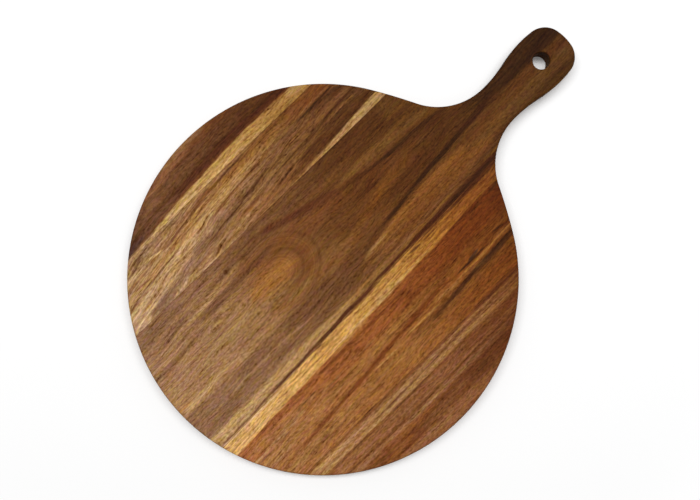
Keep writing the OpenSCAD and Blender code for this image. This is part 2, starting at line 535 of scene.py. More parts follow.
def wood(
    name, bands, streaks, along, lean, curve, tilt, seed, strand, stray=1.0, eye=None, drilled=False
):
    """Oiled hardwood with this stave's own figure.

    bands: tones across the stave, (v, tone), where the grain crosses u = 0
    streaks: (u and v of both ends, width, tone, strength, and if given softness)
    along: how much of each colour is left along the stave, (u, (r, g, b)): partly the stave's own tone,
    partly painted light that is brighter towards the foot
    lean, curve: the grain's rise, v = lean * u + curve * u^2
    tilt: how far the growth rings move across for each millimetre of depth
    strand: how strongly light and dark strands of fibre alternate
    stray: how far the fibres leave straight lines
    eye: if given, (u, v, stretch, size, stops) of rings that close around a heart
    drilled: whether the hanging hole goes through this stave
    """
    material, tree = empty_material(name)
    x, y, z = object_place(tree)
    u, w = y.scaled(1 / MM, 0.0), z.scaled(1 / MM, -BOARD_T)
    v = x.scaled(-1 / MM, 0.0) + w * tilt

    # The grain wanders slowly, and the edges of its streaks are feathered by fibres
    wander = noise(u, v, w, 95.0, 30.0, seed + 0.3, 1.0)
    ripple = noise(u, v, w, 21.0, 5.0, seed + 4.1, 1.0)
    feather = noise(u, v, w, 15.0, 0.9, seed + 7.7, 2.0)
    drift = wander.scaled(3.0, -1.5) + ripple.scaled(1.2 * stray, -0.6 * stray)
    plain = v + drift
    frayed = plain + feather.scaled(2.4 * stray, -1.2 * stray)
    rise = u * u.scaled(curve, lean)
    across = frayed - rise

    stops = [(at, tone(shade)) for at, shade in bands]
    colour = ramp(across, stops, bands[0][0], bands[-1][0])
    bend = noise(u, v, w, 48.0, 17.0, seed + 2.2, 1.0)
    grain = plain - rise + bend.scaled(9.0 * stray, -4.5 * stray)
    if eye:
        eye_u, eye_v, stretch, size, rings = eye
        ahead = u.scaled(1 / stretch, -eye_u / stretch).math("MAXIMUM", 0.0)
        beside = frayed.scaled(1.0, -eye_v)
        reach = (ahead * ahead + beside * beside).math("SQRT")
        ring_stops = [(at, tone(shade)) for at, shade in rings]
        heart = ramp(reach, ring_stops, rings[0][0], rings[-1][0])
        inside = reach.step(size + 6.0, size - 14.0) * u.step(eye_u - 40.0, eye_u - 4.0)
        colour = blended(colour, heart, inside * 0.8)
        beside = plain.scaled(1.0, -eye_v)
        near = (ahead * ahead + beside * beside).math("SQRT")
        curl = reach.step(size + 8.0, size - 14.0) * u.step(eye_u - 8.0, eye_u + 14.0)

    # The stave's own tone along its length, with painted light that is brighter towards the foot
    colour = dimmed(colour, u, along)
    fibre_mix = feather.scaled(0.9, 0.55)
    loose = plain + feather.scaled(1.5 * stray, -0.75 * stray)
    place_u = u
    for line in streaks:
        colour, place_u = streak(colour, place_u, loose, fibre_mix, *line)
    # Painted light and a painted sheen along the whole board, paler and greyer at the foot, with the
    # wood's own darkening towards the handle
    colour = dimmed(colour, u, WOOD_TONE_AND_PAINTED_LIGHT)

    # Growth lines, fibres, open pores and bright flecks
    lines = noise(u, grain, w, 130.0, 2.4, seed + 11.2, 4.0, 0.62)
    strands = noise(u, grain, w, 30.0, 2.4, seed + 12.9, 1.0)
    veins = noise(u, grain, w, 20.0, 1.5, seed + 14.7, 1.0).step(0.54, 0.70)
    threads = noise(u, grain, w, 15.0, 1.3, seed + 13.6, 1.0)
    fibres = noise(u, grain, w, 12.0, 0.8, seed + 15.8, 3.0, 0.6)
    dashes = noise(u, grain, w, 2.9, 1.1, seed + 17.3, 1.0)
    mottle = noise(u, grain, w, 30.0, 10.0, seed + 19.4, 2.0)
    pores = noise(u, grain, w, 2.6, 0.5, seed + 23.9, 1.0).step(0.58, 0.74)
    # Pale sapwood shows few pores. The bump keeps them all, because it works out all that its
    # height depends on three times, and the streaks would not fit.
    paleness = tree.nodes.new("ShaderNodeRGBToBW")
    plug(tree, paleness.inputs[0], colour)
    dark_pores = pores * Field(tree, paleness.outputs[0]).step(0.14, 0.34).scaled(-0.7, 1.0)
    change = (
        lines.scaled(0.9, -0.45)
        - veins.scaled(0.3 * strand, -0.05 * strand)
        + strands.scaled(0.7 * strand, -0.35 * strand)
        + threads.scaled(0.9 * strand, -0.45 * strand)
        + fibres.scaled(0.6, -0.3)
        + dashes.scaled(1.6, -0.8)
        + mottle.scaled(0.4, -0.2)
        - dark_pores.scaled(0.44, -0.018)
    )
    if eye:
        arcs = noise(u, near, w, 60.0, 1.4, seed + 27.5, 2.0)
        change = change * curl.scaled(-0.5, 1.0) + arcs.scaled(1.4, -0.7) * curl
    colour = mottled(shaded(colour, change), u, grain, w, seed + 29.3)

    # Edges take up more oil, most of all where they cut across the fibres. The rounded edges are also
    # painted darker as shade, most of all where they are steep, for the rims' dark outline
    facing = tree.nodes.new("ShaderNodeNewGeometry")
    normal = tree.nodes.new("ShaderNodeSeparateXYZ")
    tree.links.new(facing.outputs["Normal"], normal.inputs[0])
    up = Field(tree, normal.outputs[2]).size()
    edge = up.step(0.97, 0.3)
    steep = up.step(0.75, 0.1)
    end_grain = edge * Field(tree, normal.outputs[1]).size()
    soak_and_painted_shade = edge * -0.1 + end_grain * -0.1 + steep * -0.35
    # Painted shade at the hanging hole: its wall and a ring round its mouth are darker, while the wall
    # is spared the steep faces' painted shade
    if drilled:
        beside = x.scaled(1 / MM, 0.0)
        ahead = u.scaled(1.0, -HOLE_Y)
        mouth = (beside * beside + ahead * ahead).math("SQRT").step(HOLE_R + 1.3, HOLE_R + 0.2)
        soak_and_painted_shade = soak_and_painted_shade + mouth * steep * 0.4 - mouth * 0.1
    colour = shaded(colour, soak_and_painted_shade)

    height = lines.scaled(0.5, 0.0) + fibres.scaled(0.6, 0.0) + dashes.scaled(0.4, 0.0) - pores * 0.8
    roughness = (pores * 0.14 + fibres.scaled(0.2, 0.46) + edge * 0.08).limited()
    oiled(tree, colour, roughness, height, strength=0.35, depth=0.08, sheen=0.042)
    return material


def glue(name):
    """Cured wood glue, sanded flush and oiled over, with wood dust in it."""
    material, tree = empty_material(name)
    x, y, z = (part.scaled(1 / MM, 0.0) for part in object_place(tree))
    dust = noise(y, x, z, 6.0, 1.0, 3.3, 3.0)
    colour = ramp(dust, [(0.3, tone("ebony")), (0.5, tone("plum")), (0.7, tone("umber"))], 0.3, 0.7)
    # The same painted light and painted sheen along the board as on the wood
    colour = dimmed(colour, y, WOOD_TONE_AND_PAINTED_LIGHT)
    oiled(tree, colour, dust.scaled(0.3, 0.35), dust, strength=0.2, depth=0.05, sheen=0.06)
    return material


LEFT_EDGE = dict(
    bands=[
        (108, "sap"), (123.5, "sap"), (124.7, "russet"), (127, "plum"), (130, "plum"), (131.6, "cocoa"),
        (135, "umber"), (141, "umber"), (146, "russet"), (150, "umber"), (172, "umber"),
    ],
    streaks=[
        (-104, 117.5, -70, 123.6, 5.5, "slate", 0.6, 1.4), (-62, 141, 10, 146.6, 6.5, "clay", 0.7, 2.5),
        (-40, 148.6, 30, 151, 5.5, "tan", 0.5, 2), (-66, 127, 0, 130, 1.8, "plum", 0.5),
        (10, 131.4, 50, 131.2, 1.6, "plum", 0.9), (46, 131.5, 86, 129.6, 1.8, "ebony", 0.8),
        (-24, 141.4, 6, 142.6, 1.2, "cocoa", 0.7), (-46, 138, -28, 138.6, 1.2, "cocoa", 0.5),
        (6, 138, 44, 139, 1.2, "cocoa", 0.5), (-14, 147, 18, 147.5, 1, "cocoa", 0.5),
        (20, 142, 100, 130, 12, "cocoa", 0.5, 4), (-84, 117.6, 66, 115.7, 3.2, "cream", 0.9, 1),
        (-44, 118.8, 0, 118.6, 0.9, "amber", 0.35), (0, 118.6, 46, 119.4, 0.9, "amber", 0.45),
        (-10, 122.6, 34, 122.2, 1, "amber", 0.4), (30, 123.6, 74, 122.8, 1.1, "amber", 0.5),
        (44, 117.6, 84, 117.2, 1, "amber", 0.6), (66, 124.4, 92, 121.5, 2, "amber", 0.5, 1),
        (64, 120.5, 104, 117, 6, "straw", 0.6, 1.5), (78, 121.5, 112, 117, 7, "wheat", 0.85, 1.6),
        (-98, 117.6, -64, 119, 2.4, "tan", 0.6, 1), (-86, 123, -26, 126.6, 5.5, "walnut", 0.3, 1.6),
        (-68, 135.6, -36, 131.8, 5, "clay", 0.4, 1.8),
    ],
    along=[
        (-95, (0.95, 1, 1.1)), (-30, (1.03, 1.05, 1.05)), (40, (0.93, 0.92, 0.9)),
        (100, (0.8, 0.82, 0.85)),
    ],
    lean=0.0336, curve=-0.00048, tilt=0.35, seed=2.0, strand=0.8,
)

LEFT = dict(
    bands=[
        (60, "walnut"), (69, "tan"), (74, "straw"), (79, "tan"), (83, "walnut"), (92, "walnut"),
        (96, "tan"), (100, "straw"), (104, "straw"), (108, "amber"), (112, "tan"), (114.5, "chestnut"),
        (117, "tan"), (122, "straw"), (128, "tan"), (133, "straw"), (140, "tan"),
    ],
    streaks=[
        (-72, 74, 90, 75.5, 11, "chestnut", 0.68, 3), (0, 95, 134, 91.5, 10, "walnut", 0.9, 2.5),
        (48, 107.5, 164, 107.5, 12, "chestnut", 0.9, 2.5), (-108, 111, -38, 113.5, 7, "walnut", 0.7, 2),
        (-104, 82, -50, 86.6, 6, "straw", 0.75, 1.6), (-130, 85, -108, 91, 1.8, "russet", 0.95),
        (-118, 90.6, -52, 97.8, 1.6, "russet", 0.9), (-112, 96.6, -90, 95.4, 1.3, "russet", 0.85),
        (-110, 105.6, -82, 113.6, 2.4, "umber", 0.85), (-104, 111.6, -74, 115.8, 1.8, "umber", 0.9),
        (-92, 107.8, -68, 104.6, 1.5, "cream", 0.9), (-106, 101, -84, 104, 1.6, "straw", 0.6),
        (-76, 103.8, -54, 104.6, 1.4, "russet", 0.85), (-66, 104.2, -36, 107.8, 1.8, "russet", 0.95),
        (-46, 107, -8, 112.4, 2.2, "russet", 0.95), (-26, 110.4, 36, 113.2, 2.3, "cocoa", 0.9),
        (-80, 114.2, -34, 115.9, 1.2, "umber", 0.85), (-60, 112.4, -36, 113.2, 1, "umber", 0.7),
        (-64, 100, -36, 101.6, 1.3, "chestnut", 0.85), (-48, 99.8, -20, 103, 1.3, "chestnut", 0.8),
        (-70, 91.6, -30, 95.6, 4.5, "straw", 0.7, 1.6), (-40, 99.4, -6, 102, 3.4, "straw", 0.7, 1.4),
        (-112, 86, -54, 92, 3.4, "straw", 0.65, 1.4), (-66, 92.6, -38, 95.4, 1.6, "cream", 0.6),
        (-34, 93.6, 8, 98.2, 2.2, "russet", 0.9), (-4, 97, 48, 99.6, 1.5, "russet", 0.9),
        (-62, 82, -22, 88.5, 5, "umber", 0.35, 2), (-52, 81, -20, 85, 1.8, "umber", 0.9),
        (-34, 83.8, 4, 87, 1.9, "cocoa", 0.9), (-8, 86.8, 36, 91, 2.3, "cocoa", 0.9),
        (-28, 77.2, -2, 79.6, 1.3, "russet", 0.9), (-12, 79, 20, 81, 2, "russet", 0.9),
        (-138, 72.8, -94, 80.4, 1.9, "cream", 0.65, 0.9), (-126, 78.4, -88, 82, 1.5, "cream", 0.5, 0.9),
        (-131, 81.5, -108, 85, 1.4, "cream", 0.6, 0.9), (-122, 80.2, -100, 81.2, 1, "amber", 0.7),
        (-122, 74, -74, 77.4, 2.6, "umber", 0.5, 1.2), (-96, 71.4, -66, 74.6, 1.5, "cream", 0.6, 0.9),
        (-78, 72.8, -40, 75.2, 1.7, "straw", 0.85), (-64, 70.6, -34, 71.6, 1.5, "cream", 0.6, 0.9),
        (-26, 71, 4, 72, 1.2, "straw", 0.4), (-32, 75.2, 14, 77.4, 1.6, "straw", 0.7),
        (28, 73, 102, 74, 4, "cocoa", 0.5, 1.2), (-74, 75.8, -46, 77.2, 1.2, "umber", 0.75),
        (-44, 74.8, -24, 76, 1.1, "umber", 0.7), (-14, 105.6, 66, 109.4, 7, "amber", 0.5, 2),
        (-4, 101.4, 64, 103.6, 1.5, "straw", 0.8), (54, 103, 116, 103.9, 1.4, "tan", 0.45),
        (26, 99.2, 66, 98.6, 1.6, "cocoa", 0.4), (66, 100.2, 118, 102.4, 2, "ebony", 0.85),
        (28, 96.2, 64, 96.6, 1.2, "umber", 0.45), (36, 90, 66, 92, 1.2, "cocoa", 0.5),
        (54, 83.4, 86, 84.6, 1.6, "cocoa", 0.8), (78, 86.2, 132, 89.6, 2.2, "cocoa", 0.85),
        (98, 95.6, 124, 97.2, 2.2, "cocoa", 0.7), (64, 94.2, 104, 95, 1.2, "russet", 0.6),
        (92, 84.2, 124, 84.8, 1.6, "tan", 0.5), (84, 84, 126, 85.6, 1.3, "walnut", 0.65),
        (-14, 82.4, 26, 83.6, 2, "straw", 0.5, 1), (24, 76.8, 50, 78.2, 1.5, "cocoa", 0.85),
        (44, 77.2, 86, 79.6, 2.6, "cocoa", 0.85), (42, 76.6, 150, 78.4, 10, "cocoa", 0.78, 2.4),
        (88, 82.4, 134, 82.8, 2.2, "ebony", 0.38), (30, 68.8, 96, 69, 1.8, "straw", 0.9, 0.6),
        (50, 68.6, 226, 72.4, 7, "wheat", 0.85, 0.7), (70, 69.4, 124, 70.4, 1, "amber", 0.5),
        (104, 72, 150, 72.6, 2.2, "wheat", 0.6, 0.8), (-48, 77.4, 8, 75.4, 5.5, "straw", 0.6, 1.8),
        (56, 71.8, 132, 77, 3, "cocoa", 0.5, 1.2), (76, 97, 120, 95.6, 6.5, "cocoa", 0.28, 2),
        (-6, 91.8, 36, 94.2, 5.4, "straw", 0.28, 1.8), (32, 88, 88, 88, 3.2, "tan", 0.3, 1.2),
        (-66, 90.8, -24, 88.6, 4.4, "cream", 0.3, 1.6), (-124, 86.6, -78, 95, 2.6, "walnut", 0.6, 1),
        (-76, 107.2, -40, 112.4, 3.8, "straw", 0.5, 1.4), (82, 107.4, 110, 106.8, 6, "russet", 0.45, 2),
        (16, 71, 48, 76.4, 4.8, "umber", 0.35, 1.8), (16, 101.8, 62, 98.6, 3, "tan", 0.4, 1.2),
        (-44, 114.6, 36, 113.6, 2.4, "straw", 0.4, 1), (12, 83.6, 52, 88.4, 3.4, "straw", 0.25, 1.3),
        (38, 92, 78, 94.6, 2.8, "tan", 0.3, 1.2), (-104, 78.4, -62, 85.4, 2.8, "cream", 0.3, 1.2),
        (-66, 96.8, -34, 100, 3.2, "amber", 0.35, 1.3), (-137, 71.8, -110, 74.4, 3.6, "cream", 0.5, 1),
        (-32, 109.4, -4, 111, 3, "russet", 0.4, 1.1), (-8, 78.4, 80, 84.8, 6, "slate", 0.1, 2.5),
        (46, 69.2, 112, 71.2, 2.6, "straw", 0.4, 1.2), (-126, 86.8, -96, 90, 3, "chestnut", 0.3, 1.1),
        (-34, 109, 2, 112.4, 3, "rust", 0.4, 1.1), (14, 103.6, 46, 97.6, 3.8, "straw", 0.3, 1.3),
        (-30, 76.4, 4, 78.6, 2.6, "chestnut", 0.45, 1),
        (-124, 91.6, -96, 94.6, 3.2, "cream", 0.35, 1.1), (80, 92.8, 122, 95.4, 2.4, "loam", 0.35, 1),
    ],
    along=[
        (-135, (0.98, 1.06, 1.1)), (-60, (1.16, 1.26, 1.34)), (0, (0.94, 0.93, 0.9)),
        (45, (0.7, 0.66, 0.6)), (85, (0.52, 0.48, 0.42)), (130, (0.44, 0.42, 0.4)),
    ],
    lean=0.095, curve=-0.00035, tilt=-0.5, seed=13.0, strand=1.3,
)

HANDLE = dict(
    bands=[
        (-40, "straw"), (-25, "straw"), (-22.4, "walnut"), (-3, "walnut"), (1, "tan"), (34, "tan"),
        (38, "walnut"), (42, "tan"), (46, "walnut"), (51, "tan"), (56, "walnut"), (75, "walnut"),
    ],
    streaks=[
        (-56, 26.5, 2, 28.5, 17, "honey", 0.75, 6), (0, 22, 172, 23, 38, "loam", 0.85, 6),
        (16, -15.4, 196, -12.5, 22, "amber", 0.65, 3), (-12, 0.6, 66, 12, 4, "amber", 0.3, 1.6),
        (-160, 27, -70, 27, 11, "umber", 0.22, 4), (-120, 58, -44, 58.6, 8, "tan", 0.45, 2.5),
        (-126, 50.8, -94, 53.4, 1.6, "umber", 0.95), (-82, 54.4, -54, 57.2, 1.4, "umber", 0.55),
        (-150, 45.6, -104, 50, 2.4, "straw", 0.15, 0.8), (-106, 48.8, -54, 52, 2.4, "straw", 0.75, 0.8),
        (-84, 51.8, -30, 55.6, 2.6, "straw", 0.6, 1.2), (-100, 44.4, -40, 46.6, 6, "umber", 0.65, 1.8),
        (-66, 46.2, 4, 48, 6.5, "umber", 0.65, 2), (-80, 40.4, -30, 41.6, 2.6, "straw", 0.2, 1),
        (-140, 35.8, -100, 38.2, 3, "umber", 0.45, 1.2), (-151, 33, -124, 34, 1.8, "umber", 0.6),
        (-116, 32.8, -66, 34.6, 2, "straw", 0.4, 0.9), (-104, 25, -56, 22, 2, "straw", 0.35, 0.9),
        (-96, 11, -50, 8, 2, "umber", 0.3, 0.9), (-130, 13, -96, 11, 3, "umber", 0.25, 1.2),
        (-166, 4, -134, 6, 4, "honey", 0.7, 1.6), (-160, 2, -104, 4.4, 4.4, "straw", 0.75, 1.6),
        (-128, 3.6, -78, 5.2, 3.4, "straw", 0.75, 1.4), (-94, 0.4, -56, 1.6, 1.7, "straw", 0.3),
        (-154, -3, -112, -4, 1.6, "umber", 0.5), (-110, -3, -54, -6.4, 4, "umber", 0.45, 1.4),
        (-119, -8.6, -94, -7.4, 1.3, "tan", 0.8), (-116, -12.4, -58, -11.2, 2.4, "straw", 0.5),
        (-150, -14, -116, -13.4, 1.2, "tan", 0.5), (-69, -10.8, -38, -12.6, 1.6, "tan", 0.9, 0.9),
        (-54, -11.8, -16, -14.2, 1.3, "tan", 0.8), (-154, -19.4, -94, -18.8, 8, "umber", 0.35, 2.5),
        (-98, -16, -46, -17, 5, "umber", 0.3, 2), (-64, -19, -36, -18, 2.4, "umber", 0.6, 0.9),
        (-58, -6, 50, -8, 15, "umber", 0.55, 4), (-36, -9, -6, -10, 1.6, "cocoa", 0.6),
        (-160, -28.8, -86, -27.6, 2.4, "sap", 0.6, 1.2), (-78, -24.6, -46, -21, 2.8, "straw", 0.6, 1.2),
        (-70, -26.4, 8, -26.9, 3.6, "sap", 0.5, 1), (-6, -25.6, 66, -24.4, 2.6, "amber", 0.85, 0.8),
        (-36, -24, 24, -24.3, 1, "umber", 0.75), (0, -22, 60, -21.4, 1.4, "amber", 0.4),
        (14, -26.2, 150, -19.6, 2.6, "walnut", 0.7, 1), (-156, -36.2, -84, -34.2, 1.6, "umber", 0.85),
        (-118, -34.4, -36, -32.9, 2.1, "umber", 0.95), (-96, -34.4, -40, -33.4, 1.4, "plum", 0.8),
        (-66, -33.6, 6, -31.6, 3, "plum", 0.95), (-26, -31.4, 36, -30.6, 3.4, "plum", 0.95),
        (14, -29.7, 82, -28.3, 2.5, "plum", 1), (54, -28.8, 126, -27.2, 3.8, "plum", 1),
        (72, -28.6, 206, -26.4, 7.2, "plum", 1, 1.2), (-34, 61.6, 4, 60, 2.2, "ember", 0.7),
        (-16, 62, 34, 47, 6.5, "ember", 0.97, 1.8), (4, 56, 66, 37.6, 8.5, "ember", 0.97, 2.2),
        (-8, 51.6, 40, 36.4, 5, "ginger", 0.22, 2.2), (42, 43, 84, 36.4, 4, "cocoa", 0.6, 1.4),
        (62, 38.2, 106, 32.6, 3, "cocoa", 0.95, 0.8), (82, 34.8, 166, 28.2, 3.8, "ebony", 0.9, 1),
        (100, 29.6, 176, 26, 7, "cocoa", 0.7, 2), (-60, 66.4, 30, 66, 6, "umber", 0.5, 2.2),
        (38, 60, 142, 58.6, 18, "cocoa", 0.54, 5), (58, 43.6, 132, 40.8, 6, "olive", 0.9, 1.6),
        (96, 40, 162, 36.4, 5, "olive", 0.85, 1.4), (62, 43.8, 114, 42, 4, "amber", 0.2, 1.6),
        (108, 41, 128, 40.4, 2, "amber", 0.4, 1), (78, 52.4, 104, 50.8, 1.8, "cocoa", 0.85),
        (92, 53.8, 128, 52.4, 2.2, "cocoa", 0.9), (72, 63, 104, 62, 2, "cocoa", 0.5),
        (116, 60, 160, 55, 8, "olive", 0.4, 3), (24, 40, 74, 28, 8, "russet", 0.4, 3),
        (6, 46, 34, 38.6, 4, "ginger", 0.25, 1.6), (58, 26.2, 92, 24.4, 2.2, "cocoa", 0.9, 0.8),
        (28, 30.4, 48, 26.6, 1.6, "cocoa", 0.5), (42, 8, 92, 17.8, 6, "rust", 0.6, 2),
        (62, 15, 122, 22.4, 7, "rust", 0.55, 2.2), (66, 7, 172, 11, 11, "cocoa", 0.42, 3),
        (116, 20, 184, 18, 16, "cocoa", 0.62, 4), (80, 10, 136, 13.4, 4, "cocoa", 0.55, 1.6),
        (-6, 6, 54, 3, 7, "chestnut", 0.5, 3), (54, -5, 106, 1.4, 3.2, "ebony", 0.9, 0.9),
        (88, 0.6, 158, 5.2, 4, "ebony", 0.95, 1), (132, 4.2, 200, 8.6, 4.2, "ebony", 0.95, 1.2),
        (150, 15.4, 330, 14, 21, "ebony", 0.78, 1.8), (212, 10, 300, 9.4, 9, "ebony", 0.5, 1.8),
        (190, 7, 280, 10, 3, "ebony", 0.8, 1.2), (30, -13, 76, -7, 3, "straw", 0.6, 1),
        (52, -9.6, 118, -4.2, 5, "amber", 0.8, 1.4), (84, -6, 166, -4.6, 9, "amber", 0.6, 2),
        (140, -3, 310, -2, 14, "bark", 0.8, 3), (136, -9, 310, -8.6, 11, "olive", 0.75, 2.5),
        (66, -19.6, 100, -18.4, 1.6, "cocoa", 0.4), (70, -15.4, 146, -14, 4, "chestnut", 0.35, 2),
        (116, -23, 184, -20.6, 3.4, "cocoa", 0.5, 1.4), (196, -12.6, 262, -14, 2, "cocoa", 0.5),
        (180, -1, 226, 0, 3, "olive", 0.6, 1.2), (38, 68, 142, 66.2, 2.2, "cocoa", 0.85),
        (-14, 46.5, 62, 36, 9.5, "russet", 0.6, 2.5), (10, -4.4, 78, 0.6, 6.5, "loam", 0.5, 2),
        (146, 8.6, 212, 5.6, 7, "plum", 0.4, 2), (-94, 41.6, -36, 42.6, 3.4, "umber", 0.5, 1.3),
        (188, -1.2, 238, 0.6, 5.5, "loam", 0.4, 2), (112, 49, 148, 48.6, 7, "cocoa", 0.25, 2),
        (224, -11.4, 300, -12.4, 5, "loam", 0.35, 1.6), (10, 10.6, 48, 9, 5, "loam", 0.35, 1.8),
        (-148, 49, -108, 50.4, 3.2, "umber", 0.5, 1.2), (34, -24.2, 84, -19.6, 2.8, "loam", 0.55, 1),
        (-97, 37, -60, 37, 3.4, "straw", 0.5, 1.4), (-60, 18, -24, 16.2, 4.4, "straw", 0.25, 1.8),
        (-130, 18.6, 4, 16.2, 13, "hay", 0.25, 4), (50, 21.2, 80, 19.2, 5, "loam", 0.3, 2),
        (-84, 1, -50, 1, 3.4, "walnut", 0.4, 1.4), (-150, 64, -84, 64.4, 12, "slate", 0.1, 4),
        (66, 41.6, 134, 32.6, 5, "olive", 0.22, 2), (152, -3, 202, -10.6, 5, "amber", 0.35, 2),
        (48, 13, 98, 12, 4, "rust", 0.3, 1.6), (94, -29, 196, -26.8, 4.5, "ebony", 0.8, 1),
        (6, 37, 38, 31.6, 6.5, "russet", 0.65, 2), (-36, 6.6, -2, 8.2, 4.4, "hay", 0.4, 1.6),
        (12, 58.4, 38, 57.6, 4.6, "walnut", 0.3, 1.6), (72, -24.6, 196, -17.4, 8, "walnut", 0.3, 2.5),
        (72, -24.6, 196, -17.4, 8, "slate", 0.12, 2.5), (14, -24, 70, -16, 8, "walnut", 0.3, 2.5),
        (38, -7.2, 74, -4.4, 4, "loam", 0.7, 1.3), (120, 21.8, 152, 21.8, 4, "olive", 0.35, 1.6),
        (-152, 16, -122, 10, 4.6, "walnut", 0.4, 1.8), (-90, 24, -62, 29, 4.5, "walnut", 0.4, 1.8),
        (24, 44.6, 66, 44, 2.6, "cocoa", 0.35, 1.2), (-128, -5.6, -98, -5, 3.2, "umber", 0.3, 1.2),
        (-64, -30.6, 0, -25.6, 2.4, "chestnut", 0.35, 1), (-14, 47.2, 22, 48.8, 3, "russet", 0.4, 1.2),
        (-98, -27.8, -50, -23.2, 8, "hay", 0.22, 2.5), (38, -7.6, 74, -3.8, 3.4, "cocoa", 0.3, 1.2),
        (108, -15, 148, -12.2, 3, "rust", 0.4, 1.2), (34, 71.6, 80, 63, 8, "slate", 0.12, 2.5),
        (88, 22, 152, 23.4, 19, "olive", 0.12, 5), (-48, 59.8, -14, 61, 2.9, "cocoa", 0.3, 1.1),
        (-138, 46.4, -104, 45, 2.9, "straw", 0.35, 1.1),
        (128, 26.4, 154, 30.8, 4.7, "ebony", 0.25, 1.5),
    ],
    along=[
        (-150, (0.97, 0.97, 0.97)), (-60, (0.94, 0.92, 0.88)), (0, (0.75, 0.69, 0.57)),
        (45, (0.56, 0.48, 0.36)), (75, (0.54, 0.47, 0.32)), (130, (0.5, 0.45, 0.28)),
        (260, (0.44, 0.42, 0.26)),
    ],
    lean=0.012, curve=0.0, tilt=0.45, seed=31.0, strand=0.9, drilled=True,
    eye=(-22.0, 28.0, 1.35, 33.0, [
        (0, "honey"), (4, "honey"), (7.5, "ginger"), (12, "nut"), (17, "chestnut"), (20, "nut"),
        (24, "nut"), (26, "chestnut"), (28.6, "russet"), (33, "russet"), (45, "ember"),
    ]),
)

